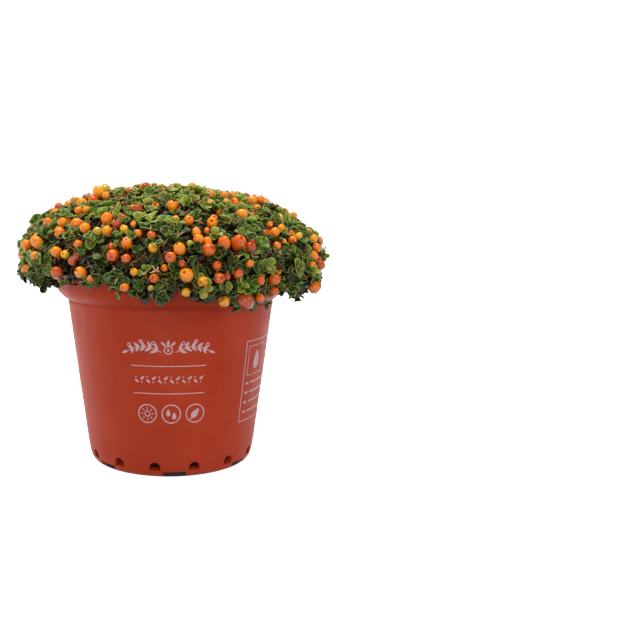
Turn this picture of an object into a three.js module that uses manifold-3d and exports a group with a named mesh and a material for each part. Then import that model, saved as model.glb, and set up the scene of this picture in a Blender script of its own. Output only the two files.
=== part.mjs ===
// Potted coral bead plant: a dense low cushion of creeping leafy stems, set with round
// berries, that fills a tapered plastic nursery pot and hangs over its rim.
// Millimetres, +Z up, origin on the ground at the middle of the pot's foot.

import * as THREE from "three";
import { mergeVertices } from "three/addons/utils/BufferGeometryUtils.js";
import Module from "manifold-3d";

const wasm = await Module();
wasm.setup();

// Pot: outer radii and heights of the moulding
const POT_HEIGHT = 91;
const LIP_RADIUS = 52.9;
const COLLAR_RADIUS = 52.4;
const COLLAR_FOOT = 81.5;
const SHOULDER_RADIUS = 47.2;
const SHOULDER_HEIGHT = 75;
const SHOULDER_STEP = 2;
const BASE_RADIUS = 38.9;
const BASE_CORNER = 9;
const FOOT_RADIUS = 33.9;
const FOOT_RING_WIDTH = 2.4;
const FOOT_HEIGHT = 2.2;
const WALL = 1.2;
const POT_SEGMENTS = 42;

// Pot: arched drain holes round the corner, and the gaps in the foot ring
const DRAIN_COUNT = 14;
const DRAIN_WIDTH = 4.8;
const DRAIN_SILL = 3.6;
const DRAIN_HEIGHT = 4;
const DRAIN_REACH = 14;
const NOTCH_COUNT = 7;
const NOTCH_WIDTH = 10;
const BASE_TURN = THREE.MathUtils.degToRad(2.2);

// Soil, and the clearance between pieces that touch
const SOIL_TOP = 79;
const SOIL_SEGMENTS = 24;
const CLEAR = 0.35;

// Cushion: the dark inner mass that the leaves and berries stand out of
const CORE_RADIUS = 64.8;
const CORE_WIDEST = 94;
const CORE_TOP = 121;
const CORE_DROOP = 80.5;
const CORE_POWER = 1.9;
const CORE_SEGMENTS = 24;
const CORE_STEPS = { skirt: 4, dome: 6 };
const SURVEY_STEPS = { skirt: 24, dome: 60 };
const SKIRT_LEVEL = 88;
const CORE_INSIDE_POT = 48.8;

// Cushion: gentle bulges of its plan outline, as [height, lobes, phase]
const BULGES = [
  [0.9, 2, 0.9],
  [1.1, 4, 2.2],
  [0.8, 6, 0.4],
];

// Tufts: rooted bunches of stems, one in the middle and two rings of them
const INNER_TUFTS = 6;
const INNER_RING = 27;
const RIM_TUFTS = 12;
const RIM_RING = 52;
const RIM_ROOT_RING = 43;
const STEM_RADIUS = 1.8;
const STEM_DEPTH = 8;
const STEM_SIDES = 4;

// Leaf rosettes and berries, placed in turn along one golden-angle spiral
const SITES = 132;
const BERRY_TURNS = [1, 3];
const TURNS = 5;
const SPREAD_ROUNDS = 120;
const LAST_SITE_ANGLE = THREE.MathUtils.degToRad(-95);
const GOLDEN_ANGLE = Math.PI * (3 - Math.sqrt(5));
const LEAF_LENGTH = 9.8;
const LEAF_THICKNESS = 0.65;
const LEAF_SMALLEST = 0.88;
const LEAF_LARGEST = 1.08;
const LEAF_SHORTEST = 0.38;
const LEAF_TRIM = 0.94;
const LEAF_RISE = 0.46;
const LEAF_CUP = 0.07;
const ROSETTE_HEIGHT = 0.7;
const ROSETTE_LIFT = 0.25;
const SHOOT_DEPTH = 3.6;
const SHOOT_RADIUS = 0.9;
const ROSETTE_ROOM = 4.6;
const ROSETTE_REACH = 8.8;
const CUSHION_REACH = 71.5;
const BERRY_SMALLEST = 2.4;
const BERRY_LARGEST = 3.4;
const BERRY_SINK = 1.3;
const SEED = 20251;

const HALF_TURN = Math.PI;
const FULL_TURN = 2 * Math.PI;
const UP = new THREE.Vector3(0, 0, 1);

// Seeded draws from 0 to 1
function seededRandom(seed) {
  let state = seed;
  return () => {
    state = (state * 1664525 + 1013904223) % 4294967296;
    return state / 4294967296;
  };
}

// A closed geometry as a solid, with shared corners merged and collapsed triangles dropped
function solidOf(geometry) {
  const plain = geometry.clone();
  plain.deleteAttribute("normal");
  plain.deleteAttribute("uv");
  const merged = mergeVertices(plain, 1e-4);
  const index = Array.from(merged.index.array);
  const kept = [];
  for (let i = 0; i < index.length; i += 3) {
    const [a, b, c] = index.slice(i, i + 3);
    if (a !== b && b !== c && c !== a) {
      kept.push(a, b, c);
    }
  }
  const vertProperties = new Float32Array(merged.attributes.position.array);
  const triVerts = new Uint32Array(kept);
  return new wasm.Manifold(new wasm.Mesh({ numProp: 3, vertProperties, triVerts }));
}

// The largest body of a solid as a named mesh
function meshOf(name, solid, material) {
  const bodies = solid.decompose().sort((a, b) => b.volume() - a.volume());
  const { vertProperties, triVerts } = bodies[0].getMesh();
  const geometry = new THREE.BufferGeometry();
  geometry.setAttribute("position", new THREE.BufferAttribute(vertProperties, 3));
  geometry.setIndex(new THREE.BufferAttribute(triVerts, 1));
  geometry.computeVertexNormals();
  const mesh = new THREE.Mesh(geometry, material);
  mesh.name = name;
  return mesh;
}

// A closed profile of radius and height turned about the +Z axis
function turned(points, segments) {
  const geometry = new THREE.LatheGeometry(points, segments);
  geometry.rotateX(HALF_TURN / 2);
  return geometry;
}

// A flat outline in X and Z pushed out along Y from y = 0 to y = length
function pushedAlongY(shape, length) {
  const geometry = new THREE.ExtrudeGeometry(shape, { depth: length, bevelEnabled: false });
  geometry.rotateX(HALF_TURN / 2);
  geometry.translate(0, length, 0);
  return geometry;
}

// Angles are counted from -Y, the front, towards +X
function onCircle(radius, angle, height) {
  return new THREE.Vector3(radius * Math.sin(angle), -radius * Math.cos(angle), height);
}

// Inner wall of the pot, from the floor up to the lip
function potInnerPoints() {
  const taper = (BASE_RADIUS - FOOT_RADIUS) / 2;
  return [
    new THREE.Vector2(FOOT_RADIUS - WALL, FOOT_HEIGHT + WALL),
    new THREE.Vector2(FOOT_RADIUS + taper - WALL / 2, FOOT_HEIGHT + 2 * WALL),
    new THREE.Vector2(BASE_RADIUS - WALL, BASE_CORNER + WALL / 2),
    new THREE.Vector2(SHOULDER_RADIUS - WALL, SHOULDER_HEIGHT + WALL / 2),
    new THREE.Vector2(COLLAR_RADIUS - 2 * WALL, COLLAR_FOOT - WALL),
    new THREE.Vector2(COLLAR_RADIUS - WALL, COLLAR_FOOT + WALL / 2),
    new THREE.Vector2(LIP_RADIUS - WALL, POT_HEIGHT - WALL),
  ];
}

function potProfile() {
  const outer = new THREE.Path();
  outer.moveTo(0, FOOT_HEIGHT);
  outer.lineTo(FOOT_RADIUS - FOOT_RING_WIDTH, FOOT_HEIGHT);
  outer.lineTo(FOOT_RADIUS - FOOT_RING_WIDTH, 0);
  outer.lineTo(FOOT_RADIUS, 0);
  outer.quadraticCurveTo(BASE_RADIUS - WALL, FOOT_HEIGHT / 2, BASE_RADIUS, BASE_CORNER);
  outer.lineTo(SHOULDER_RADIUS, SHOULDER_HEIGHT);
  outer.lineTo(SHOULDER_RADIUS + SHOULDER_STEP, SHOULDER_HEIGHT + SHOULDER_STEP);
  outer.lineTo(COLLAR_RADIUS - SHOULDER_STEP / 2, COLLAR_FOOT - SHOULDER_STEP);
  outer.lineTo(COLLAR_RADIUS, COLLAR_FOOT);
  outer.lineTo(LIP_RADIUS, POT_HEIGHT - 2);
  outer.lineTo(LIP_RADIUS - WALL / 3, POT_HEIGHT);
  outer.lineTo(LIP_RADIUS - WALL, POT_HEIGHT - WALL / 3);
  const floorMiddle = new THREE.Vector2(0, FOOT_HEIGHT + WALL);
  return [...outer.getPoints(3), ...potInnerPoints().reverse(), floorMiddle];
}

// Arch-headed drain hole in X and Z, with its sill at the height of the pot's floor
function drainShape() {
  const half = DRAIN_WIDTH / 2;
  const springing = DRAIN_SILL + DRAIN_HEIGHT - half;
  const shape = new THREE.Shape();
  shape.moveTo(-half, DRAIN_SILL);
  shape.lineTo(half, DRAIN_SILL);
  shape.lineTo(half, springing);
  shape.absarc(0, springing, half, 0, HALF_TURN, false);
  return new THREE.Shape(shape.getPoints(3));
}

function makePot(material) {
  let solid = solidOf(turned(potProfile(), POT_SEGMENTS));
  for (let i = 0; i < DRAIN_COUNT; i += 1) {
    const angle = BASE_TURN + ((i + 0.5) * FULL_TURN) / DRAIN_COUNT;
    const hole = pushedAlongY(drainShape(), DRAIN_REACH);
    hole.translate(0, -FOOT_RADIUS - DRAIN_REACH + WALL, 0);
    hole.rotateZ(angle);
    solid = solid.subtract(solidOf(hole));
  }
  for (let i = 0; i < NOTCH_COUNT; i += 1) {
    const angle = BASE_TURN + (i * FULL_TURN) / NOTCH_COUNT;
    const depth = 4 * FOOT_RING_WIDTH;
    const notch = new THREE.BoxGeometry(NOTCH_WIDTH, depth, 2 * FOOT_HEIGHT);
    notch.translate(0, -FOOT_RADIUS, 0);
    notch.rotateZ(angle);
    solid = solid.subtract(solidOf(notch));
  }
  return meshOf("pot", solid, material);
}

// Where the tufts stand, and where each one's stem goes down into the soil
function tuftPlaces() {
  const places = [{ name: "leafy_tuft_middle", at: onCircle(0, 0, 0), root: onCircle(0, 0, 0) }];
  for (let i = 0; i < INNER_TUFTS; i += 1) {
    const at = onCircle(INNER_RING, ((i + 0.5) * FULL_TURN) / INNER_TUFTS, 0);
    places.push({ name: `leafy_tuft_inner_${i + 1}`, at, root: at });
  }
  for (let i = 0; i < RIM_TUFTS; i += 1) {
    const angle = (i * FULL_TURN) / RIM_TUFTS;
    const at = onCircle(RIM_RING, angle, 0);
    places.push({ name: `leafy_tuft_rim_${i + 1}`, at, root: onCircle(RIM_ROOT_RING, angle, 0) });
  }
  return places;
}

function stemAt(root, radius, low, high) {
  const stem = new THREE.CylinderGeometry(radius, radius, high - low, STEM_SIDES);
  stem.rotateX(HALF_TURN / 2);
  stem.translate(root.x, root.y, (low + high) / 2);
  return solidOf(stem);
}

function makeSoil(places, material) {
  const wall = potInnerPoints().filter((point) => point.y < SOIL_TOP);
  const last = wall[wall.length - 1];
  const profile = [new THREE.Vector2(0, wall[0].y + CLEAR)];
  for (const point of wall) {
    profile.push(new THREE.Vector2(point.x - 1.5 * CLEAR, point.y + CLEAR));
  }
  profile.push(new THREE.Vector2(last.x + 1, SOIL_TOP));
  profile.push(new THREE.Vector2(0, SOIL_TOP));
  let solid = solidOf(turned(profile, SOIL_SEGMENTS));
  for (const { root } of places) {
    const low = SOIL_TOP - STEM_DEPTH - CLEAR;
    solid = solid.subtract(stemAt(root, STEM_RADIUS + 1.2 * CLEAR, low, SOIL_TOP + 1));
  }
  return meshOf("soil", solid, material);
}

// Height of the cushion's core over a radius, above its widest level
function domeHeight(radius) {
  const share = Math.min(1, radius / CORE_RADIUS);
  const rise = (1 - share ** CORE_POWER) ** (1 / CORE_POWER);
  return CORE_WIDEST + (CORE_TOP - CORE_WIDEST) * rise;
}

function bulge(angle) {
  return BULGES.reduce((sum, [size, lobes, phase]) => sum + size * Math.sin(lobes * angle + phase), 0);
}

// The bulges are full at the widest level and fade away over the rim
function bulgeShare(radius) {
  return Math.max(0, radius - COLLAR_CLEARANCE) / (CORE_RADIUS - COLLAR_CLEARANCE);
}

// Half section of the part that hangs over the rim, from the collar round to the widest level
const COLLAR_CLEARANCE = (LIP_RADIUS + CLEAR) / Math.cos(HALF_TURN / CORE_SEGMENTS);
const SKIRT_MIDDLE = (COLLAR_CLEARANCE + CORE_RADIUS) / 2;
const SKIRT_HALF = (CORE_RADIUS - COLLAR_CLEARANCE) / 2;

function skirtPoint(angle) {
  const radius = SKIRT_MIDDLE + SKIRT_HALF * Math.cos(angle);
  return new THREE.Vector2(radius, SKIRT_LEVEL + (SKIRT_LEVEL - CORE_DROOP) * Math.sin(angle));
}

// Outside of the core in section, from under the overhang up to the crown
function coreOutline(steps, startAngle) {
  const points = [];
  for (let i = 0; i <= steps.skirt; i += 1) {
    points.push(skirtPoint(startAngle * (1 - i / steps.skirt)));
  }
  for (let i = 0; i <= steps.dome; i += 1) {
    const radius = CORE_RADIUS * Math.cos((i * HALF_TURN) / (2 * steps.dome));
    points.push(new THREE.Vector2(radius, domeHeight(radius)));
  }
  points[points.length - 1].x = 0;
  return points;
}

// The core lies on the soil, passes over the lip and hangs down outside the collar
function makeCore() {
  const profile = [
    new THREE.Vector2(0, SOIL_TOP + CLEAR),
    new THREE.Vector2(CORE_INSIDE_POT, SOIL_TOP + CLEAR),
    new THREE.Vector2(CORE_INSIDE_POT, POT_HEIGHT + CLEAR),
    new THREE.Vector2(COLLAR_CLEARANCE, POT_HEIGHT + CLEAR),
    ...coreOutline(CORE_STEPS, -HALF_TURN),
  ];
  const geometry = turned(profile, CORE_SEGMENTS);
  const position = geometry.attributes.position;
  for (let i = 0; i < position.count; i += 1) {
    const x = position.getX(i);
    const y = position.getY(i);
    const radius = Math.hypot(x, y);
    if (radius > COLLAR_CLEARANCE) {
      const grown = 1 + (bulgeShare(radius) * bulge(Math.atan2(x, -y))) / radius;
      position.setXY(i, x * grown, y * grown);
    }
  }
  return solidOf(geometry);
}

// Distance that a point in plan lies past the border between two tufts
function pastBorder(point, here, there) {
  const across = there.clone().sub(here).setZ(0);
  const middle = here.clone().add(there).multiplyScalar(0.5);
  return point.clone().sub(middle).setZ(0).dot(across.normalize());
}

// Everything on the far side of the border between two tufts
function farSide(here, there) {
  const size = 4 * CORE_RADIUS;
  const across = there.clone().sub(here);
  const box = new THREE.BoxGeometry(size, size, size);
  box.translate(size / 2 - CLEAR / 2, 0, 0);
  box.rotateZ(Math.atan2(across.y, across.x));
  const middle = here.clone().add(there).multiplyScalar(0.5);
  box.translate(middle.x, middle.y, 0);
  return solidOf(box);
}

function bordersOf(place, places) {
  const near = 1.5 * RIM_RING * Math.sin(HALF_TURN / INNER_TUFTS);
  return places.filter((other) => other !== place && other.at.distanceTo(place.at) < near);
}

// The core's outside in section, nearest to a radius and height
function nearestSection(radius, height) {
  if (height >= CORE_WIDEST) {
    const rise = (height - CORE_WIDEST) / (CORE_TOP - CORE_WIDEST);
    const share = radius / CORE_RADIUS;
    const scale = (share ** CORE_POWER + rise ** CORE_POWER) ** (-1 / CORE_POWER);
    return new THREE.Vector2(radius * scale, CORE_WIDEST + (height - CORE_WIDEST) * scale);
  }
  if (height >= SKIRT_LEVEL) {
    return new THREE.Vector2(CORE_RADIUS, height);
  }
  const across = (radius - SKIRT_MIDDLE) / SKIRT_HALF;
  const drop = (height - SKIRT_LEVEL) / (SKIRT_LEVEL - CORE_DROOP);
  return skirtPoint(Math.max(LAST_SITE_ANGLE, Math.atan2(drop, across)));
}

// Outward direction of the core in section
function outwardAt(section) {
  const rise = Math.max(0, section.y - CORE_WIDEST) / (CORE_TOP - CORE_WIDEST);
  if (rise > 0) {
    const across = (section.x / CORE_RADIUS) ** (CORE_POWER - 1) / CORE_RADIUS;
    const up = rise ** (CORE_POWER - 1) / (CORE_TOP - CORE_WIDEST);
    return new THREE.Vector2(across, up).normalize();
  }
  const drop = Math.min(0, section.y - SKIRT_LEVEL) / (SKIRT_LEVEL - CORE_DROOP) ** 2;
  return new THREE.Vector2((section.x - SKIRT_MIDDLE) / SKIRT_HALF ** 2, drop).normalize();
}

// Moves a site onto the core's outside, and notes which way is outward there
function seat(site) {
  const { point } = site;
  const angle = Math.atan2(point.x, -point.y);
  const swell = bulge(angle) * bulgeShare(Math.hypot(point.x, point.y));
  const section = nearestSection(Math.hypot(point.x, point.y) - swell, point.z);
  const direction = outwardAt(section);
  site.point = onCircle(section.x + bulge(angle) * bulgeShare(section.x), angle, section.y);
  site.outward = onCircle(direction.x, angle, direction.y);
}

// Moves a site in plan until it has room on its own side of every border
function keepInside(site) {
  for (const other of site.borders) {
    const excess = pastBorder(site.point, site.place.at, other.at) + site.room + CLEAR / 2;
    if (excess > 0) {
      const away = site.place.at.clone().sub(other.at).normalize();
      site.point.addScaledVector(away, excess);
    }
  }
}

// Rosettes and berries by turns along a golden-angle spiral over the outside of the core
function spiralSites(places, random) {
  const outline = coreOutline(SURVEY_STEPS, LAST_SITE_ANGLE).reverse();
  const areas = [0];
  for (let i = 1; i < outline.length; i += 1) {
    const mean = (outline[i].x + outline[i - 1].x) / 2;
    areas.push(areas[i - 1] + FULL_TURN * mean * outline[i].distanceTo(outline[i - 1]));
  }
  const total = areas[areas.length - 1];
  const sites = [];
  for (let i = 0; i < SITES; i += 1) {
    const wanted = (total * (i + 0.5)) / SITES;
    const k = areas.findIndex((area) => area >= wanted);
    const share = (wanted - areas[k - 1]) / (areas[k] - areas[k - 1]);
    const section = outline[k - 1].clone().lerp(outline[k], share);
    const point = onCircle(section.x, i * GOLDEN_ANGLE, section.y);
    const flat = point.clone().setZ(0);
    const place = places.reduce((a, b) => (b.at.distanceTo(flat) < a.at.distanceTo(flat) ? b : a));
    const radius = BERRY_SMALLEST + (BERRY_LARGEST - BERRY_SMALLEST) * random();
    const turn = sites.filter((site) => site.place === place).length % TURNS;
    const berry = BERRY_TURNS.includes(turn);
    const reach = berry ? radius : ROSETTE_REACH;
    const room = berry ? radius : ROSETTE_ROOM;
    sites.push({ point, place, borders: bordersOf(place, places), berry, radius, reach, room });
  }
  return sites;
}

// Spreads the sites out until none crowds its neighbours
function spreadOut(sites) {
  for (let round = 0; round < SPREAD_ROUNDS; round += 1) {
    for (let i = 0; i < sites.length; i += 1) {
      for (let k = i + 1; k < sites.length; k += 1) {
        const apart = sites[k].point.clone().sub(sites[i].point);
        const crowding = sites[i].reach + sites[k].reach - apart.length();
        if (crowding > 0) {
          apart.setLength(crowding / 2);
          sites[i].point.sub(apart);
          sites[k].point.add(apart);
        }
      }
    }
    sites.forEach(keepInside);
    sites.forEach(seat);
  }
}

// One leaf's outline from the notch beside it round to its far side, as shares of its length
const LEAF_OUTLINE = [
  [0.13, -0.13],
  [0.52, -0.41],
  [0.88, -0.27],
  [0.88, 0.27],
  [0.52, 0.41],
];

// The blade is flat in its middle and rises outward from the notches between the leaves
const FLAT_MIDDLE = Math.hypot(...LEAF_OUTLINE[0]) * LEAF_LENGTH;

function leafRise(reach, aside) {
  return LEAF_RISE * Math.max(0, reach - FLAT_MIDDLE) + LEAF_CUP * aside * aside;
}

// Two crossed pairs of round cupped leaves as one blade, with a length for each leaf
function rosetteGeometry(lengths) {
  const corners = [];
  lengths.forEach((length, leaf) => {
    const turn = (leaf * HALF_TURN) / 2;
    LEAF_OUTLINE.forEach(([along, aside], corner) => {
      const size = corner === 0 ? LEAF_LENGTH : length;
      const place = new THREE.Vector2(along * size, aside * size);
      corners.push(place.rotateAround(new THREE.Vector2(), turn));
    });
  });
  const shape = new THREE.Shape(corners);
  const geometry = new THREE.ExtrudeGeometry(shape, { depth: LEAF_THICKNESS, bevelEnabled: false });
  const position = geometry.attributes.position;
  for (let i = 0; i < position.count; i += 1) {
    const x = position.getX(i);
    const y = position.getY(i);
    const rise = leafRise(Math.hypot(x, y), Math.min(Math.abs(x), Math.abs(y)));
    position.setZ(i, position.getZ(i) + rise);
  }
  return geometry;
}

// Turns +Z onto a direction, with a spin about it first, and moves the origin to a point
function placement(point, direction, spin) {
  const turn = new THREE.Quaternion().setFromUnitVectors(UP, direction.clone().normalize());
  const twist = new THREE.Quaternion().setFromAxisAngle(UP, spin);
  return new THREE.Matrix4().compose(point, turn.multiply(twist), new THREE.Vector3(1, 1, 1));
}

// True if a leaf's corners keep clear of the pot, and to their own side of every border
function leafFits(length, leaf, matrix, spot) {
  return LEAF_OUTLINE.slice(1).every(([along, aside]) => {
    const flat = new THREE.Vector2(along * length, aside * length);
    flat.rotateAround(new THREE.Vector2(), (leaf * HALF_TURN) / 2);
    return [0, LEAF_THICKNESS].every((layer) => {
      const height = leafRise(flat.length(), aside * length) + layer;
      const corner = new THREE.Vector3(flat.x, flat.y, height).applyMatrix4(matrix);
      const radius = Math.hypot(corner.x, corner.y);
      const clearOfPot = radius > COLLAR_CLEARANCE + CLEAR || corner.z > POT_HEIGHT + CLEAR;
      const past = spot.borders.map((other) => pastBorder(corner, spot.place.at, other.at));
      return radius < CUSHION_REACH && clearOfPot && Math.max(...past) < -CLEAR / 2;
    });
  });
}

function makeRosette(spot, random) {
  const spin = random() * FULL_TURN;
  const towardsLight = ROSETTE_LIFT * (1 - spot.outward.z ** 2);
  const facing = spot.outward.clone().addScaledVector(UP, towardsLight);
  const middle = spot.point.clone().addScaledVector(spot.outward, ROSETTE_HEIGHT);
  const matrix = placement(middle, facing, spin);
  const lengths = [0, 1, 2, 3].map((leaf) => {
    let size = LEAF_SMALLEST + (LEAF_LARGEST - LEAF_SMALLEST) * random();
    while (size > LEAF_SHORTEST && !leafFits(LEAF_LENGTH * size, leaf, matrix, spot)) {
      size *= LEAF_TRIM;
    }
    return LEAF_LENGTH * size;
  });
  const shoot = new THREE.CylinderGeometry(SHOOT_RADIUS / 2, SHOOT_RADIUS, SHOOT_DEPTH, 3);
  shoot.rotateX(HALF_TURN / 2);
  shoot.translate(0, 0, (LEAF_THICKNESS - SHOOT_DEPTH) / 2);
  const blade = solidOf(rosetteGeometry(lengths).applyMatrix4(matrix));
  return blade.add(solidOf(shoot.applyMatrix4(matrix)));
}

function makeBerry(spot) {
  const geometry = new THREE.SphereGeometry(spot.radius, 6, 4);
  geometry.rotateX(HALF_TURN / 2);
  const centre = spot.point.clone().addScaledVector(spot.outward, spot.radius - BERRY_SINK);
  return solidOf(geometry.applyMatrix4(placement(centre, spot.outward, 0)));
}

function makeTufts(places, material) {
  const random = seededRandom(SEED);
  const core = makeCore();
  const sites = spiralSites(places, random);
  spreadOut(sites);
  return places.map((place) => {
    let solid = core;
    for (const other of bordersOf(place, places)) {
      solid = solid.subtract(farSide(place.at, other.at));
    }
    solid = solid.add(stemAt(place.root, STEM_RADIUS, SOIL_TOP - STEM_DEPTH, SOIL_TOP + STEM_DEPTH));
    for (const site of sites.filter((spot) => spot.place === place)) {
      solid = solid.add(site.berry ? makeBerry(site) : makeRosette(site, random));
    }
    return meshOf(place.name, solid, material);
  });
}

const potPlastic = new THREE.MeshStandardMaterial({ color: "#a8452c", roughness: 0.55, metalness: 0 });
const peatSoil = new THREE.MeshStandardMaterial({ color: "#2e2018", roughness: 0.95, metalness: 0 });
const leafGreen = new THREE.MeshStandardMaterial({ color: "#466b2c", roughness: 0.45, metalness: 0 });

const plant = new THREE.Group();
const places = tuftPlaces();
plant.add(makePot(potPlastic));
plant.add(makeSoil(places, peatSoil));
plant.add(...makeTufts(places, leafGreen));

export default plant;
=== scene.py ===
"""Potted coral bead plant: a low cushion of tiny leaves and bead-like berries in a nursery pot.

Runs in Blender 4.5 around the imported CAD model. Lengths are metres unless a name or comment
says mm. Turns are counted from the front (-Y) towards the right (+X).
"""

import math
import random

import bmesh
import bpy
import numpy as np
from mathutils import Matrix, Vector, noise


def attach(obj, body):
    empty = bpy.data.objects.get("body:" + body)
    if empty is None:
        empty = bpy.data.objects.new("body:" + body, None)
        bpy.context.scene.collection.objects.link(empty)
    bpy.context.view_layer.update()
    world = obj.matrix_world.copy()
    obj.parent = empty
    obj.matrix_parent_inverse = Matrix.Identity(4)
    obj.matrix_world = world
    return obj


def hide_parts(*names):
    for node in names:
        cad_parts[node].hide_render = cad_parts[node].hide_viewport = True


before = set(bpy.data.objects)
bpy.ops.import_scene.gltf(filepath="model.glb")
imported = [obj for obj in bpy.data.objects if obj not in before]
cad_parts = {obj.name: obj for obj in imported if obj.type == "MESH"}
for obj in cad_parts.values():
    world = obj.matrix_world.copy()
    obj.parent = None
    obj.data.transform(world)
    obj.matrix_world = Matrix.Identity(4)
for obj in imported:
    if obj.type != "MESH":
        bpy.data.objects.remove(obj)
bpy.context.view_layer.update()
MM = 0.001

# Camera: a short telephoto a little above the plant, looking slightly down. The plant stands left
# of the picture's middle, which a small lens shift and a small turn share between them.
CAMERA_PLACE = Vector((1.06, -371.1, 119.6)) * MM
CAMERA_PAN = math.radians(3.16)
CAMERA_TILT = math.radians(8.64)
CAMERA_ROLL = math.radians(0.41)

camera_data = bpy.data.cameras.new("studio_camera")
camera_data.lens = 45.27
camera_data.sensor_width = 36.0
camera_data.shift_x = 0.16
camera_data.clip_start = 0.01
camera_data.clip_end = 20.0
camera = bpy.data.objects.new("studio_camera", camera_data)
camera.matrix_world = (
    Matrix.Translation(CAMERA_PLACE)
    @ Matrix.Rotation(-CAMERA_PAN, 4, "Z")
    @ Matrix.Rotation(math.radians(90) - CAMERA_TILT, 4, "X")
    @ Matrix.Rotation(CAMERA_ROLL, 4, "Z")
)
bpy.context.scene.collection.objects.link(camera)
bpy.context.scene.camera = camera
bpy.context.scene.view_settings.view_transform = "Standard"


# Studio: a white acrylic light table that the pot stands on and a white backdrop all round. One
# large softbox overhead gives most of the light, and two weaker ones and low white cards on all
# sides lift the shadows.
def linear(code):
    """A colour written as sRGB hex, as the linear values that Blender's sockets take."""
    parts = [int(code[i : i + 2], 16) / 255 for i in (1, 3, 5)]
    return [c / 12.92 if c <= 0.04045 else ((c + 0.055) / 1.055) ** 2.4 for c in parts] + [1.0]


def add_node(material, kind, inputs=None, **settings):
    """Adds one node; kind is its type without ShaderNode. An input takes a number, a colour as a
    hex code, or what it is linked to: an output, or a node, which means its first output in use.
    settings are the node's own values; stops are a colour ramp's places and colours."""
    node = material.node_tree.nodes.new("ShaderNode" + kind)
    for name, value in settings.items():
        if name == "stops":
            elements = node.color_ramp.elements
            for place, _ in value[len(elements):]:
                elements.new(place)
            for element, (place, colour) in zip(elements, value):
                element.position = place
                element.color = linear(colour)
        else:
            setattr(node, name, value)
    for name, value in (inputs or {}).items():
        if isinstance(value, bpy.types.Node):
            value = next(output for output in value.outputs if output.enabled)
        if isinstance(value, bpy.types.NodeSocket):
            material.node_tree.links.new(value, node.inputs[name])
        else:
            node.inputs[name].default_value = linear(value) if isinstance(value, str) else value
    return node


def new_material(name):
    """A material without any nodes."""
    material = bpy.data.materials.new(name)
    material.use_nodes = True
    material.node_tree.nodes.clear()
    return material


def new_piece(name, bm, materials):
    """Turns a bmesh in metres into an object at the origin."""
    mesh = bpy.data.meshes.new(name)
    bm.to_mesh(mesh)
    bm.free()
    for material in materials:
        mesh.materials.append(material)
    piece = bpy.data.objects.new(name, mesh)
    bpy.context.scene.collection.objects.link(piece)
    return piece


STAGE_RADIUS = 3.0
FOOT_SHADE = 36.1  # mm, radius of the dark patch under the pot
# White acrylic, matt on top and lit from below: an even white that takes no shadow. Under the pot
# it carries a painted shadow: within FOOT_SHADE of the middle its colour turns near black and its
# glow goes out.
acrylic = new_material("white_acrylic_light_table")
table_place = add_node(acrylic, "TexCoord").outputs["Object"]
from_pot = add_node(acrylic, "VectorMath", {0: table_place}, operation="LENGTH")
table_lit = add_node(acrylic, "MapRange", {
    "Value": from_pot, "From Min": (FOOT_SHADE - 0.5) * MM,
    "From Max": (FOOT_SHADE + 0.5) * MM, "To Min": 0.02, "To Max": 0.99})
table_shade = add_node(acrylic, "Mix", {
    "Factor": table_lit, "A": "#0A0A0A", "B": "#F6F6F6"}, data_type="RGBA")
acrylic_shader = add_node(acrylic, "BsdfPrincipled", {
    "Base Color": table_shade, "Roughness": 0.9, "Specular IOR Level": 0.0,
    "Emission Color": "#FFFFFF", "Emission Strength": table_lit})
add_node(acrylic, "OutputMaterial", {"Surface": acrylic_shader})
bm = bmesh.new()
bmesh.ops.create_circle(bm, cap_ends=True, radius=STAGE_RADIUS, segments=96)
floor = new_piece("light_table", bm, [acrylic])

# Lit white cloth: the camera sees it, and it adds no light of its own to the plant.
backcloth = new_material("white_backdrop_cloth")
backcloth_shader = add_node(backcloth, "BsdfPrincipled", {
    "Base Color": "#FFFFFF", "Roughness": 1.0,
    "Emission Color": "#FFFFFF", "Emission Strength": 1.0})
add_node(backcloth, "OutputMaterial", {"Surface": backcloth_shader})
bm = bmesh.new()
bmesh.ops.create_uvsphere(bm, u_segments=64, v_segments=32, radius=STAGE_RADIUS)
bmesh.ops.reverse_faces(bm, faces=bm.faces)
backdrop = new_piece("white_backdrop", bm, [backcloth])
for ray in ("visible_diffuse", "visible_transmission", "visible_shadow"):
    setattr(backdrop, ray, False)
    setattr(floor, ray, False)
backdrop.visible_glossy = False

world = bpy.data.worlds.new("studio_surroundings")
world.use_nodes = True
background = world.node_tree.nodes["Background"]
background.inputs["Color"].default_value = linear("#FFFFFF")
background.inputs["Strength"].default_value = 0.09
bpy.context.scene.world = world

LIT_POINT = Vector((0.0, 0.0, 0.07))  # the lights face it
SOFTBOXES = [  # name, place, side, watts
    ("softbox_top", (-0.1, 0.0, 1.1), 0.8, 15.0),
    ("softbox_left", (-0.6, -0.8, 0.7), 0.5, 0.8),
    ("softbox_right", (0.85, -0.6, 0.45), 0.5, 3.6),
    ("bounce_card_front", (-0.15, -0.9, 0.1), 0.6, 3.7),
    ("bounce_card_left", (-0.9, 0.1, 0.15), 0.7, 3.3),
    ("bounce_card_right", (0.9, 0.1, 0.15), 0.7, 1.2),
    ("bounce_card_back", (0.1, 0.9, 0.15), 0.6, 2.5),
]
for name, place, side, watts in SOFTBOXES:
    light = bpy.data.lights.new(name, "AREA")
    light.shape = "SQUARE"
    light.size = side
    light.energy = watts
    lamp = bpy.data.objects.new(name, light)
    lamp.location = place
    lamp.rotation_euler = (LIT_POINT - lamp.location).to_track_quat("-Z", "Y").to_euler()
    bpy.context.scene.collection.objects.link(lamp)

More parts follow.
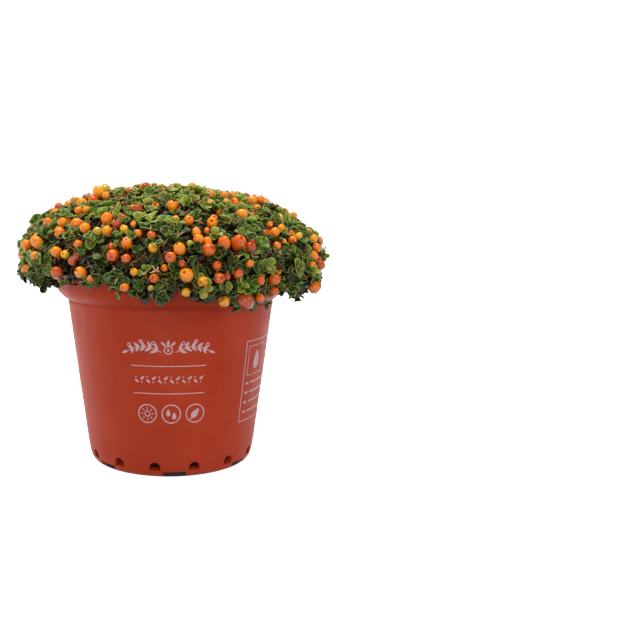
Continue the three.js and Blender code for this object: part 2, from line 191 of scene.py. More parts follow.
# Pot: one thin injection moulding of polypropylene. A tapered wall, a shoulder that steps out to
# a near-upright collar with a rounded lip, a foot ring with gaps, and arched drain holes that
# are cut through the corner of its base.
BASE_TURN = math.radians(2.2)
DRAIN_COUNT = 14
DRAIN_RADIUS = 2.4  # mm, of the arch, as are the sizes below
DRAIN_HEIGHT = 4.6  # from the table to the middle of the arch
DRAIN_DROP = 2.3  # from there down to the straight sill
DRAIN_START = 41.5  # radius outside the wall, from which the plugs reach in
DRAIN_REACH = 9
SILL_RISE = 2.2  # over that reach
FOOT_GAPS = 7
FOOT_RADIUS = 35.6
GAP_SIZE = (10, 7, 5)  # across, in and up
POT_STEPS = 168
POT_PROFILE = [  # mm, radius and height, from the middle of the underside round to the floor
    (0, 2.2), (33.0, 2.2), (33.2, 2.0), (33.2, 0.25), (33.45, 0), (35.3, 0), (36.0, 0.12),
    (36.8, 0.6), (37.4, 1.5), (37.9, 3.0), (38.3, 4.9), (38.6, 6.9), (38.85, 8.7), (39.0, 9.3),
    (39.05, 9.9), (40.6, 21.8), (42.8, 39), (45, 57), (46.9, 72.6), (47.0, 73.8), (46.8, 74.2),
    (46.85, 74.4), (47.9, 74.8), (49.2, 75.8), (50.4, 77), (51.4, 78.3), (52.05, 79.6),
    (52.4, 81.0), (52.55, 84), (52.9, 88.9), (52.95, 89.9), (52.8, 90.6), (52.4, 90.95),
    (51.95, 90.9), (51.65, 90.5), (51.6, 89.6), (51.2, 82.2), (50.7, 81), (49.8, 79.9),
    (48.2, 78.2), (46.6, 77), (45.8, 75.2), (41.9, 42), (37.8, 9.7), (37.4, 7.6), (36.8, 6),
    (35.8, 4.6), (34.4, 3.7), (32.7, 3.4), (0, 3.4),
]


def around(radius, turn, height):
    """A point in metres from a radius and height in mm and a turn from the front."""
    return Vector((radius * math.sin(turn), -radius * math.cos(turn), height)) * MM


def spin_round(bm, row, steps):
    """Turns a row of vertices, which runs from the axis to the axis, into a closed body."""
    edges = [bm.edges.new(pair) for pair in zip(row, row[1:])]
    bmesh.ops.spin(bm, geom=row + edges, cent=(0, 0, 0), axis=(0, 0, 1),
                   angle=math.tau, steps=steps, use_merge=True)
    bmesh.ops.remove_doubles(bm, verts=bm.verts, dist=1e-6)
    bmesh.ops.recalc_face_normals(bm, faces=bm.faces)


def new_spin(points, steps):
    """A closed turned body from its profile, as radii and heights in mm."""
    bm = bmesh.new()
    spin_round(bm, [bm.verts.new(around(radius, 0, height)) for radius, height in points], steps)
    return bm


def verts_of(geom):
    """The vertices among what a bmesh operator gives back."""
    return [v for v in geom if isinstance(v, bmesh.types.BMVert)]


def new_cutters():
    """Arched plugs for the drain holes and blocks for the gaps in the foot ring."""
    bm = bmesh.new()
    for i in range(DRAIN_COUNT):
        turn = BASE_TURN + (i + 0.5) * math.tau / DRAIN_COUNT
        arch = bmesh.ops.create_circle(bm, cap_ends=True, radius=DRAIN_RADIUS * MM,
                                       segments=20)["verts"]
        for v in [v for v in arch if v.co.y < -1e-5]:
            if abs(v.co.x) > 0.7 * DRAIN_RADIUS * MM:
                v.co.x = math.copysign(DRAIN_RADIUS * MM, v.co.x)
            v.co.y = -DRAIN_DROP * MM
        faces = list({f for v in arch for f in v.link_faces})
        far = verts_of(bmesh.ops.extrude_face_region(bm, geom=faces)["geom"])
        bmesh.ops.translate(bm, verts=far, vec=(0, 0, DRAIN_REACH * MM))
        sill = [v for v in far if v.co.y < -1e-5]
        bmesh.ops.translate(bm, verts=sill, vec=(0, SILL_RISE * MM, 0))
        stand = (Matrix.Translation(around(DRAIN_START, turn, DRAIN_HEIGHT))
                 @ Matrix.Rotation(turn, 4, "Z") @ Matrix.Rotation(math.radians(-90), 4, "X")
                 @ Matrix.Rotation(math.pi, 4, "Z"))
        bmesh.ops.transform(bm, matrix=stand, verts=arch + far)
    for i in range(FOOT_GAPS):
        turn = BASE_TURN + i * math.tau / FOOT_GAPS
        block = (Matrix.Translation(around(FOOT_RADIUS, turn, 0)) @ Matrix.Rotation(turn, 4, "Z")
                 @ Matrix.Diagonal([side * MM for side in GAP_SIZE] + [1]))
        bmesh.ops.create_cube(bm, size=1, matrix=block)
    bmesh.ops.recalc_face_normals(bm, faces=bm.faces)
    return bm


def bake_modifiers(piece):
    """Puts the result of a piece's modifiers in its mesh and takes them off."""
    bpy.context.view_layer.update()
    evaluated = piece.evaluated_get(bpy.context.evaluated_depsgraph_get())
    mesh = bpy.data.meshes.new_from_object(evaluated)
    piece.modifiers.clear()
    piece.data = mesh


# Polypropylene, injection moulded in a fine-sparked steel tool and coloured in the mass: an even
# terracotta red with a satin skin, rubbed lighter in places, with dust specks and short scuffs.
SPARK_GRAIN = 0.7  # mm; the real texture is near 0.1 mm and is drawn this coarse to show
pot_plastic = new_material("terracotta_polypropylene_moulded")
pot_place = add_node(pot_plastic, "TexCoord").outputs["Object"]
cloud = add_node(pot_plastic, "TexNoise", {
    "Vector": pot_place, "Scale": 1 / (28 * MM), "Detail": 3.0, "Roughness": 0.55})
pot_red = add_node(pot_plastic, "ValToRGB", {"Fac": cloud}, stops=[
    (0.3, "#AE351B"), (0.7, "#BA4023")])
rub_place = add_node(pot_plastic, "Mapping", {"Vector": pot_place, "Scale": (1.0, 1.0, 0.22)})
rubbing = add_node(pot_plastic, "TexNoise", {
    "Vector": rub_place, "Scale": 1 / (5 * MM), "Detail": 5.0, "Roughness": 0.65})
rub_mask = add_node(pot_plastic, "MapRange", {
    "Value": rubbing, "From Min": 0.56, "From Max": 0.8, "To Max": 0.35})
rubbed = add_node(pot_plastic, "Mix", {
    "Factor": rub_mask, "A": pot_red, "B": "#B8492F"}, data_type="RGBA")
speck_cells = add_node(pot_plastic, "TexVoronoi", {"Vector": pot_place, "Scale": 1 / (7 * MM)})
speck_mask = add_node(pot_plastic, "MapRange", {
    "Value": speck_cells, "From Min": 0.035, "From Max": 0.075, "To Min": 0.75, "To Max": 0.0})
specked = add_node(pot_plastic, "Mix", {
    "Factor": speck_mask, "A": rubbed, "B": "#4A2018"}, data_type="RGBA")
sheen_spread = add_node(pot_plastic, "MapRange", {
    "Value": rubbing, "From Min": 0.3, "From Max": 0.75, "To Min": 0.46, "To Max": 0.6})
spark = add_node(pot_plastic, "TexNoise", {"Vector": pot_place, "Scale": 1 / (SPARK_GRAIN * MM)})
pot_bump = add_node(pot_plastic, "Bump", {
    "Height": spark, "Strength": 0.25, "Distance": 0.05 * MM})
pot_shader = add_node(pot_plastic, "BsdfPrincipled", {
    "Base Color": specked, "Roughness": sheen_spread, "IOR": 1.49, "Specular IOR Level": 0.15,
    "Normal": pot_bump})
add_node(pot_plastic, "OutputMaterial", {"Surface": pot_shader})

pot_bm = new_spin(POT_PROFILE, POT_STEPS)
pot = new_piece("moulded_pot", pot_bm, [pot_plastic])
cutters = new_piece("drain_cutters", new_cutters(), [pot_plastic])
drain = pot.modifiers.new("drain_holes", "BOOLEAN")
drain.operation = "DIFFERENCE"
drain.solver = "EXACT"
drain.object = cutters
bake_modifiers(pot)
bpy.data.objects.remove(cutters)
pot.data.shade_smooth()
pot.data.set_sharp_from_angle(angle=math.radians(38))
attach(pot, "root")
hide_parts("pot")

# Print: one pale colour of ink, pad-printed on the front of the wall and, as a frame with bars,
# on its right. The designs are plain ones: leafy garlands, rules and ringed care signs.
INK_THICKNESS = 0.05  # mm
WALL_LINE = [(39.05, 9.9), (40.6, 21.8), (42.8, 39), (45, 57), (46.9, 72.6)]
PRINT_RADIUS = 43.5  # mm, where a mm across in the design is a mm on the wall
RULE = 0.38  # mm, width of the design's thin lines
GARLAND_MIDDLE = (-1.1, 57.4)  # mm across and up
SIGNS = [(-10.6, 29.4), (0.0, 29.4), (10.6, 29.4)]  # middles of the ringed signs


def bar(bm, start, end, width):
    """A straight inked line, cut across often enough to follow the round wall."""
    start, end = Vector((*start, 0)), Vector((*end, 0))
    length = (end - start).length
    cuts = max(int(length / 1.4), 1)
    lie = (Matrix.Translation((start + end) / 2)
           @ Matrix.Rotation(math.atan2(end.y - start.y, end.x - start.x), 4, "Z")
           @ Matrix.Diagonal((length, width, 1, 1)))
    bmesh.ops.create_grid(bm, x_segments=cuts, y_segments=1, size=0.5, matrix=lie)


def line(bm, points, width=RULE):
    """Bars through a row of points, with a round dot at each so that the corners close."""
    for start, end in zip(points, points[1:]):
        bar(bm, start, end, width)
    for point in points:
        dot(bm, point, width / 2, 8)


def dot(bm, middle, radius, steps=16):
    """An inked round dot."""
    bmesh.ops.create_circle(bm, cap_ends=True, radius=radius, segments=steps,
                            matrix=Matrix.Translation((*middle, 0)))


def ring(bm, middle, radius, width=RULE):
    """An inked ring."""
    rim = bmesh.ops.create_circle(bm, cap_ends=True, radius=radius, segments=24,
                                  matrix=Matrix.Translation((*middle, 0)))["verts"]
    face = list({f for v in rim for f in v.link_faces})
    bmesh.ops.inset_region(bm, faces=face, thickness=width, use_boundary=True)
    bmesh.ops.delete(bm, geom=face, context="FACES_ONLY")


def pointed(bm, foot, length, width, lean):
    """An inked leaf or drop: round near its foot, pointed at its end."""
    lie = Matrix.Translation((*foot, 0)) @ Matrix.Rotation(lean, 4, "Z")
    rim = bmesh.ops.create_circle(bm, cap_ends=True, radius=0.5, segments=14)["verts"]
    for v in rim:
        along = v.co.x + 0.5
        v.co = Vector((along * length, v.co.y * width * (1.25 - 0.75 * along), 0))
    bmesh.ops.transform(bm, matrix=lie, verts=rim)


def frame_line(bm, left, low, right, high, width):
    """An inked frame."""
    line(bm, [(left, low), (left, high), (right, high), (right, low), (left, low)], width)


def branch(bm, side):
    """An arched stem that leaves the middle of the garland, with leaves in pairs and berries."""
    stem = [(side * t + GARLAND_MIDDLE[0], 54.6 + 4.2 * math.sin(t / 20 * math.pi))
            for t in np.linspace(3, 17, 29)]
    line(bm, stem, 0.34)
    for i in range(3, 28, 5):
        (x, y), (back_x, back_y) = stem[i], stem[i - 1]
        along = math.atan2(y - back_y, x - back_x)
        for lean in (0.85, -0.85):
            pointed(bm, (x, y), 3.3 - 0.04 * i, 1.35, along + lean)
    pointed(bm, stem[-1], 2.6, 1.2, along)
    for i in (6, 16, 26):
        x, y = stem[i]
        ring(bm, (x, y + side * math.copysign(2.3, side)), 0.85, 0.36)


ink_bm = bmesh.new()
branch(ink_bm, -1)
branch(ink_bm, 1)
ring(ink_bm, GARLAND_MIDDLE, 1.9, 0.5)
dot(ink_bm, GARLAND_MIDDLE, 0.6)
for lean in (math.radians(45), math.radians(90), math.radians(135)):
    foot = (GARLAND_MIDDLE[0] + 1.6 * math.cos(lean), 59.2)
    pointed(ink_bm, foot, 2.5, 1.15, lean)
line(ink_bm, [(-16.5, 50.4), (14.5, 50.4)])
for i in range(12):
    x = -15.4 + i * 2.5
    pointed(ink_bm, (x, 44.5), 2.2, 1.05, 0.75 if i % 2 else -0.75)
    dot(ink_bm, (x + 0.4, 44.5 + (-1.1 if i % 2 else 1.1)), 0.32, 10)
line(ink_bm, [(-16.3, 38.4), (14.1, 38.4)])
# three ringed care signs: the sun, drops of water and a leaf
for middle in SIGNS:
    ring(ink_bm, middle, 4.3, 0.5)
sun = Vector(SIGNS[0])
ring(ink_bm, sun, 1.35, 0.42)
for i in range(8):
    ray = Matrix.Rotation(i * math.tau / 8, 2) @ Vector((1, 0))
    line(ink_bm, [sun + ray * 2.0, sun + ray * 2.9], 0.36)
for x, y in ((-1.3, 28.4), (1.3, 27.0)):
    pointed(ink_bm, (x, y), 3.1, 2.0, math.radians(90))
pointed(ink_bm, (9.2, 27.6), 4.9, 2.9, math.radians(52))
line(ink_bm, [(8.5, 26.7), (9.6, 28.1)], 0.4)
# the frame at the right, with its bars
frame_line(ink_bm, 35.4, 21.8, 70, 58.4, 0.42)
frame_line(ink_bm, 37.6, 42.8, 51, 56, 0.34)
pointed(ink_bm, (44.3, 45), 8.6, 5.0, math.radians(90))
for x, y, length in ((54, 54.6, 13), (54, 50.6, 9), (54, 46.6, 11.5)):
    line(ink_bm, [(x, y), (x + length, y)], 0.6)
for y, length in ((39.2, 27), (34.8, 20), (30.4, 24), (26.0, 16)):
    line(ink_bm, [(38.0, y), (39.2, y)], 1.1)
    line(ink_bm, [(41.6, y), (41.6 + length, y)], 0.7)

flat = ink_bm.faces[:]
raised = bmesh.ops.extrude_face_region(ink_bm, geom=flat, use_keep_orig=True)["geom"]
bmesh.ops.translate(ink_bm, verts=verts_of(raised), vec=(0, 0, 1))
for v in ink_bm.verts:
    wall = float(np.interp(v.co.y, [p[1] for p in WALL_LINE], [p[0] for p in WALL_LINE]))
    proud = INK_THICKNESS if v.co.z > 0.5 else -INK_THICKNESS
    v.co = around(wall + proud, v.co.x / PRINT_RADIUS, v.co.y)
bmesh.ops.recalc_face_normals(ink_bm, faces=ink_bm.faces)

# Pad-printing ink: a thin matte film of pale lilac pink, a little thin and broken in places.
ink = new_material("pale_pad_printing_ink")
ink_place = add_node(ink, "TexCoord").outputs["Object"]
ink_cover = add_node(ink, "TexNoise", {
    "Vector": ink_place, "Scale": 1 / (0.6 * MM), "Detail": 3.0})
ink_colour = add_node(ink, "ValToRGB", {"Fac": ink_cover}, stops=[
    (0.3, "#B98886"), (0.5, "#D2AEB2")])
ink_shader = add_node(ink, "BsdfPrincipled", {"Base Color": ink_colour, "Roughness": 0.6})
add_node(ink, "OutputMaterial", {"Surface": ink_shader})
printed = new_piece("printed_designs", ink_bm, [ink])
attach(printed, "root")

# Soil: peat-based potting mix, pressed in to about 12 mm below the lip. It is seen through the
# drain holes and under the edge of the leaves.
SOIL_TOP = 79  # mm
SOIL_PROFILE = [  # mm, radius and height
    (0, 3.75), (32.4, 3.75), (34.8, 4.5), (36.2, 6.8), (37.3, 10), (39.4, 28), (41.6, 46),
    (43.8, 63), (45.3, 75.2), (46.4, 77.4), (47, SOIL_TOP), (36, SOIL_TOP), (24, SOIL_TOP),
    (12, SOIL_TOP), (0, SOIL_TOP),
]
# Peat: dark brown fibres and crumbs, quite matte, with a few paler bits of bark and fibre.
CRUMB = 2.2  # mm
peat = new_material("peat_potting_mix_crumbly")
peat_place = add_node(peat, "TexCoord").outputs["Object"]
crumbs = add_node(peat, "TexVoronoi", {"Vector": peat_place, "Scale": 1 / (CRUMB * MM)})
fibres = add_node(peat, "TexNoise", {
    "Vector": peat_place, "Scale": 1 / (1.1 * MM), "Detail": 5.0, "Roughness": 0.7})
peat_brown = add_node(peat, "ValToRGB", {"Fac": fibres}, stops=[
    (0.3, "#140D09"), (0.55, "#2E1F16"), (0.78, "#5A4330")])
peat_bump = add_node(peat, "Bump", {
    "Height": crumbs, "Strength": 0.9, "Distance": 0.7 * MM})
peat_shader = add_node(peat, "BsdfPrincipled", {
    "Base Color": peat_brown, "Roughness": 0.95, "Specular IOR Level": 0.25,
    "Normal": peat_bump})
add_node(peat, "OutputMaterial", {"Surface": peat_shader})

soil_bm = new_spin(SOIL_PROFILE, 96)
for v in soil_bm.verts:
    if v.co.z > (SOIL_TOP - 0.5) * MM:
        v.co.z += noise.noise(v.co / (6 * MM)) * 0.8 * MM
soil = new_piece("peat_soil", soil_bm, [peat])
soil.data.shade_smooth()
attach(soil, "root")
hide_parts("soil")

# Cushion: creeping, rooting stems that have grown into one low dome and over the lip of the pot.
# Its form is a turned profile through the leaf tips, with a few broad lobes and a ragged fringe.
CUSHION_RADIUS = 69.0  # mm, as are the sizes below
WAIST_HEIGHT = 94.0
CROWN_RISE = 30.2
CROWN_POWER = 1.9  # 2 is an ellipse
SIDE_FOOT = 87.0
UNDER_REACH = 13.0
UNDER_DROP = 10.0
LOBES = [(0.9, 2, 0.9), (1.1, 4, 2.2), (0.8, 6, 0.4)]  # height, number round the pot, phase
LOBE_START = 53.7  # radius at which the lobes start, and at which they have their full height
LOBE_FULL = 64.8
SWELL_WIDTHS = (17, 7)
SWELL_RISE = 1.3
LUMPS = [  # turn in degrees, slide, reach and rise in mm: single swellings and hollows
    (88, 90, 17, -3.1), (276, 88, 11, -2.2), (291, 33, 7, 2.4), (292, 14, 5, 1.2),
    (71, 10, 5, 1.0), (73, 42, 5, 1.5), (277, 55, 8, 1.5), (80, 24, 9, -1.2),
]

crown = np.radians(np.linspace(0, 90, 300))
under = np.radians(np.linspace(3, 90, 80))
profile = np.concatenate([
    np.stack([CUSHION_RADIUS * np.sin(crown) ** (2 / CROWN_POWER),
              WAIST_HEIGHT + CROWN_RISE * np.cos(crown) ** (2 / CROWN_POWER)], 1),
    np.stack([CUSHION_RADIUS - UNDER_REACH * (1 - np.cos(under) ** 0.8),
              SIDE_FOOT - UNDER_DROP * np.sin(under) ** 0.8], 1),
])
slides = np.concatenate([[0], np.cumsum(np.hypot(*np.diff(profile, axis=0).T))])
skin = np.concatenate([[0], np.cumsum(np.diff(slides) * (profile[1:, 0] + profile[:-1, 0]) / 2)])


def on_profile(slide):
    """Radius and height in mm of the leaf tips, slide mm down the cushion from its crown."""
    return np.array([np.interp(slide, slides, profile[:, i]) for i in (0, 1)])


def cushion_spot(turn, slide, depth):
    """The point that lies depth mm under the leaf tips, slide mm down the cushion from its crown,
    and the cushion's outward direction there. Both are nan past the end of its profile."""
    radius, height = on_profile(slide)
    along = on_profile(slide + 0.6) - on_profile(slide - 0.6)
    along /= np.hypot(*along) or math.nan
    share = min(max((radius - LOBE_START) / (LOBE_FULL - LOBE_START), 0), 1)
    lobe = sum(size * math.sin(count * turn + phase) for size, count, phase in LOBES) * share
    outward = around(-along[1], turn, along[0]) / MM
    place = around(radius + lobe, turn, height)
    swell = sum(noise.noise(place / (width * MM)) * SWELL_RISE for width in SWELL_WIDTHS)
    for middle, down, reach, rise in LUMPS:
        across = ((math.degrees(turn) - middle + 180) % 360 - 180) * math.radians(radius)
        swell += rise * math.exp(-(across ** 2 + (slide - down) ** 2) / reach ** 2)
    return place + outward * (swell - depth) * MM, outward


FRINGE = [  # turn in degrees, height in mm above the table down to which the leaves hang
    (-180, 78.5), (-150, 77), (-125, 80), (-98, 83), (-70, 83.5), (-62, 81), (-56, 83),
    (-52, 81.5), (-47, 84.2), (-38, 85.6), (-30, 85.4), (-26, 83.5), (-21, 83.5), (-17, 85),
    (-12, 81.7), (-8, 79.5), (-3, 79.5), (-1, 81), (2, 83.5), (5, 82.5), (8, 81), (12, 78.5),
    (17, 80), (22, 77), (27.5, 73.5), (31, 76), (36, 75.2), (41, 79.5), (48, 80), (50, 79.5),
    (54, 80.5), (60, 79), (90, 79.5), (120, 76.5), (150, 79.5),
]


def fringe_height(turn):
    """How far down the cushion hangs at a turn, in mm: lowest at the front right."""
    return float(np.interp(math.degrees(turn), *zip(*FRINGE), period=360))


def cushion_sites(count, draw, scatter):
    """Spreads places evenly over the cushion: turn and slide, each moved by up to scatter mm."""
    golden = math.radians(137.508)
    for i in range(count):
        slide = float(np.interp((i + 0.5) / count * skin[-1], skin, slides))
        radius = float(on_profile(slide)[0])
        turn = i * golden + draw.uniform(-scatter, scatter) / max(radius, 2)
        yield turn % math.tau, max(slide + draw.uniform(-scatter, scatter), 0.5)


# Berries: smooth round fleshy fruit on short stalks, from yellow to orange red as they ripen,
# each with a small dark pit at its tip that often still holds the dry end of the flower.
FRONT_BERRIES = [  # turn in degrees, slide in mm, width in mm, ripeness from 0 green to 1 red
    (296.0, 34.8, 5.5, 0.45), (307.1, 35.0, 3.6, 0.45), (304.9, 40.8, 4.5, 0.8),
    (293.1, 42.6, 4.8, 0.45), (276.5, 46.8, 4.5, 0.6), (308.8, 50.8, 3.9, 0.6),
    (314.6, 50.1, 3.5, 0.45), (287.1, 54.5, 4.6, 0.6), (300.1, 56.2, 3.1, 0.45),
    (308.5, 60.2, 4.3, 0.5), (299.0, 62.1, 4.4, 0.6), (318.5, 60.2, 4.6, 0.65),
    (326.2, 64.1, 4.5, 0.5), (331.9, 56.2, 5.0, 0.6), (332.5, 65.5, 3.7, 0.12),
    (335.6, 64.2, 4.3, 0.45), (342.9, 64.0, 3.4, 0.28), (338.6, 60.4, 4.1, 0.95),
    (295.0, 20.5, 4.4, 0.3), (290.1, 13.5, 3.3, 0.3), (343.2, 47.6, 4.6, 0.95),
    (332.4, 43.5, 2.1, 0.95), (345.9, 61.4, 2.4, 0.45), (348.8, 66.4, 2.6, 0.6),
    (353.4, 67.0, 3.6, 0.8), (354.2, 72.5, 3.6, 0.3), (345.2, 70.9, 4.4, 0.6),
    (340.9, 76.1, 5.0, 0.8), (346.0, 77.5, 3.7, 0.8), (313.5, 66.8, 4.9, 0.6),
    (311.6, 68.8, 3.0, 0.6), (295.4, 75.1, 4.8, 0.6), (302.8, 72.9, 5.2, 0.45),
    (305.8, 78.6, 3.8, 0.42), (317.4, 76.1, 4.6, 0.6), (321.9, 76.9, 3.5, 0.3),
    (326.2, 71.9, 3.7, 0.6), (325.0, 79.4, 3.7, 0.95), (326.9, 77.2, 2.9, 1.0),
    (290.5, 86.0, 5.0, 0.62), (318.6, 84.6, 5.2, 0.8), (329.1, 83.6, 4.7, 0.48),
    (332.8, 86.2, 3.2, 0.65), (348.6, 82.5, 3.2, 0.45), (354.9, 84.8, 3.9, 0.8),
    (345.5, 88.5, 3.6, 0.6), (353.9, 88.4, 2.4, 0.15), (0.6, 46.3, 4.0, 0.48),
    (68.0, 9.9, 4.3, 0.6), (38.5, 28.0, 3.6, 0.6), (51.0, 30.0, 4.1, 0.6),
    (68.2, 29.5, 3.7, 0.45), (45.4, 38.6, 4.0, 0.6), (65.4, 39.4, 4.6, 0.45),
    (72.9, 41.6, 4.0, 0.6), (54.2, 46.4, 3.6, 0.6), (23.6, 41.2, 3.0, 0.45),
    (84.0, 53.1, 3.6, 0.6), (7.2, 57.5, 4.1, 0.62), (16.1, 59.9, 4.5, 0.6),
    (35.0, 52.4, 4.9, 0.45), (2.1, 56.9, 2.9, 0.45), (8.9, 65.4, 3.6, 0.45),
    (9.2, 68.9, 4.0, 0.48), (6.2, 71.0, 2.8, 0.15), (2.8, 73.2, 4.9, 0.55),
    (359.9, 76.6, 4.7, 0.75), (12.1, 73.5, 5.4, 0.75), (18.0, 70.9, 5.2, 0.72),
    (23.4, 71.0, 6.1, 0.72), (27.2, 73.6, 4.5, 0.92), (13.1, 64.0, 2.4, 0.6),
    (44.2, 65.6, 4.1, 0.6), (46.4, 59.6, 3.0, 0.6), (49.4, 63.8, 3.5, 0.6),
    (55.8, 57.6, 2.7, 0.3), (51.5, 70.2, 3.5, 0.6), (55.8, 68.9, 3.1, 0.3),
    (41.8, 72.4, 3.4, 0.62), (45.5, 71.0, 2.1, 0.45), (71.9, 66.5, 3.2, 0.3),
    (67.4, 70.8, 3.6, 0.45), (80.6, 73.0, 4.3, 0.6), (66.8, 75.2, 4.1, 0.6),
    (62.2, 78.4, 4.2, 0.6), (58.5, 82.0, 3.5, 0.45), (68.4, 83.4, 4.6, 0.8),
    (61.2, 92.0, 5.2, 0.62), (26.0, 79.8, 3.2, 0.6), (14.6, 80.0, 3.6, 0.78),
    (15.2, 84.9, 4.6, 0.8), (22.0, 83.6, 4.0, 0.8), (4.8, 83.5, 5.7, 0.47),
    (10.0, 85.9, 4.1, 0.45), (3.5, 79.1, 2.8, 0.85), (4.6, 90.2, 3.6, 0.38),
    (10.1, 91.4, 2.8, 0.15), (17.9, 95.4, 4.3, 0.42), (25.8, 94.6, 6.6, 0.88),
    (31.8, 94.0, 3.9, 0.65), (38.8, 92.6, 4.0, 0.78), (38.5, 87.0, 4.8, 0.8),
    (30.9, 86.8, 3.7, 0.75),
]
OTHER_BERRIES = 300
HIDDEN_BERRIES = 150
TWIN_STEP = 4.6  # mm from a berry to a second one beside it
LOWEST_BERRY = 101  # slide in mm, past which the overhang has none
BERRY_DEPTH = 0.5  # mm from the leaf tips down to a berry's middle
HIDDEN_DEPTH = 2.2
BERRY_STEPS = 12
BERRY_PROFILE = [  # radius and height of a berry of radius 1, from its pit down to its stalk
    (0, 0.76), (0.15, 0.79), (0.34, 0.94), (0.67, 0.77), (0.95, 0.3), (0.96, -0.28),
    (0.64, -0.77), (0, -1),
]
BERRY_KINDS = [(0.03, 0.0), (0.05, 0.05), (0.04, -0.06), (0.05, 0.16)]  # uneven, drawn out
NUB_PROFILE = [(0, 0.74), (0.11, 0.82), (0.07, 0.96), (0.02, 1.06), (0, 1.05)]
LEAF, STEM, WISP, BERRY, NUB = range(5)  # places of the tufts' five materials


def new_layers(bm):
    """The numbers that the plant's materials read: each bit's own tone; edge, which is 1 at a
    leaf's rim or in a berry's pit; and across, from -1 to 1 over a leaf's width."""
    return {name: bm.verts.layers.float.new(name) for name in ("tone", "edge", "across")}


def keep_shape(name, bm, material, size=MM):
    """Turns a bmesh, in mm or of another size, into a small shape that tufts are stamped from."""
    bmesh.ops.scale(bm, vec=(size, size, size), verts=bm.verts)
    bmesh.ops.recalc_face_normals(bm, faces=bm.faces)
    for face in bm.faces:
        face.material_index = material
        face.smooth = True
    mesh = bpy.data.meshes.new(name)
    bm.to_mesh(mesh)
    bm.free()
    return mesh


def stamp(bm, shape, place, tone):
    """Adds a copy of a small shape to a tuft, at the matrix place and with its own tone."""
    if math.isnan(place.translation.x):  # past the end of the cushion's profile
        return
    copy = shape.copy()
    copy.transform(place)
    copy.attributes["tone"].data.foreach_set("value", [tone] * len(copy.vertices))
    bm.from_mesh(copy)
    bpy.data.meshes.remove(copy)


def new_turned_shape(name, points, steps, material, edge_count):
    """A little turned body of radius 1; its edge number is 1 at the first points of its row."""
    bm = bmesh.new()
    edge = new_layers(bm)["edge"]
    row = [bm.verts.new((radius, 0, height)) for radius, height in points]
    for i, v in enumerate(row):
        v[edge] = 1.0 if i < edge_count else 0.0
    spin_round(bm, row, steps)
    return keep_shape(name, bm, material, size=1)


berry_shapes = []
for kind, (uneven, drawn) in enumerate(BERRY_KINDS):
    shape = new_turned_shape("berry_%d" % kind, BERRY_PROFILE, BERRY_STEPS, BERRY, 2)
    for v in shape.vertices:
        lump = 1 + uneven * noise.noise(v.co * 1.4 + Vector((7 * kind, 0, 0))) * 2
        v.co = Vector((v.co.x, v.co.y, v.co.z + drawn * max(v.co.z, 0) ** 2)) * lump
    berry_shapes.append(shape)
nub_shape = new_turned_shape("dry_nub", NUB_PROFILE, 5, NUB, 5)

draw = random.Random(41)
berries = []  # turn, slide, radius in mm, ripeness, how far in mm it keeps leaves away
for turn, slide, width, ripeness in FRONT_BERRIES:
    # Leaves grow over some of the smaller ones, and those at the cushion's edge stand clear.
    covered = width < 4.6 and draw.random() < 0.4
    edge_on = slide > 80 and 60 < turn < 300
    room = 1.8 if edge_on else -0.2 if covered else 0.6
    berries.append((math.radians(turn), slide, width / 2, ripeness, room))
for turn, slide in cushion_sites(OTHER_BERRIES, draw, 4.5):
    # The front has its own list, which narrows towards the crown.
    degrees = (math.degrees(turn) + 180) % 360 - 180
    listed = abs(degrees) < 78 - max(0, 45 - slide) * 1.2 and slide > 16
    if listed or slide > LOWEST_BERRY:
        continue
    berries.append((turn, slide, draw.triangular(1.6, 2.8, 2.1),
                    draw.choice((0.15, 0.3, 0.45, 0.47, 0.58, 0.6, 0.62, 0.64, 0.75, 0.8, 0.95)),
                    -0.3))
    if draw.random() < 0.42:
        step = draw.uniform(0, math.tau)
        berries.append((turn + TWIN_STEP * math.cos(step) / max(slide, 12),
                        slide + TWIN_STEP * math.sin(step), draw.uniform(1.5, 2.3),
                        draw.choice((0.35, 0.45, 0.5, 0.6, 0.66, 0.8)), -0.3))

# Small berries that the leaves of the front half hide for the most part.
for turn, slide in cushion_sites(HIDDEN_BERRIES, draw, 5.0):
    if math.cos(turn) > 0 and slide < 88:
        berries.append((turn, slide, draw.uniform(1.4, 2.1), draw.choice((0.55, 0.7, 0.85)), -0.9))


def stray_from(direction, lift, spread, draw):
    """A direction that is lifted a little and then turned aside by chance."""
    aside = Vector([draw.gauss(0, spread) for _ in range(3)])
    return (direction + Vector((0, 0, lift)) + aside).normalized()


def facing(direction):
    """The matrix that turns +Z to a direction."""
    return direction.to_track_quat("Z", "Y").to_matrix().to_4x4()


def stand_at(place, axis, draw):
    """The matrix that puts a small shape at a place, its top along axis, with a chance spin."""
    spin = Matrix.Rotation(draw.uniform(0, math.tau), 4, "Z")
    return Matrix.Translation(place) @ (facing(axis) @ spin)


placed_berries = []
for turn, slide, radius, ripeness, clear in berries:
    middle, outward = cushion_spot(turn, slide, HIDDEN_DEPTH if clear < -0.5 else BERRY_DEPTH)
    # Those spread by chance would hang loose below the fringe, so none grow there.
    if clear < -0.25 and middle.z < (fringe_height(turn) + 5) * MM:
        continue
    if any((middle - other).length < (radius + size) * 0.86 * MM
           for other, size, _, _, _ in placed_berries):
        continue
    tip = stray_from(outward, 0.35, 0.5, draw)
    placed_berries.append((middle, radius, tip, ripeness, clear))
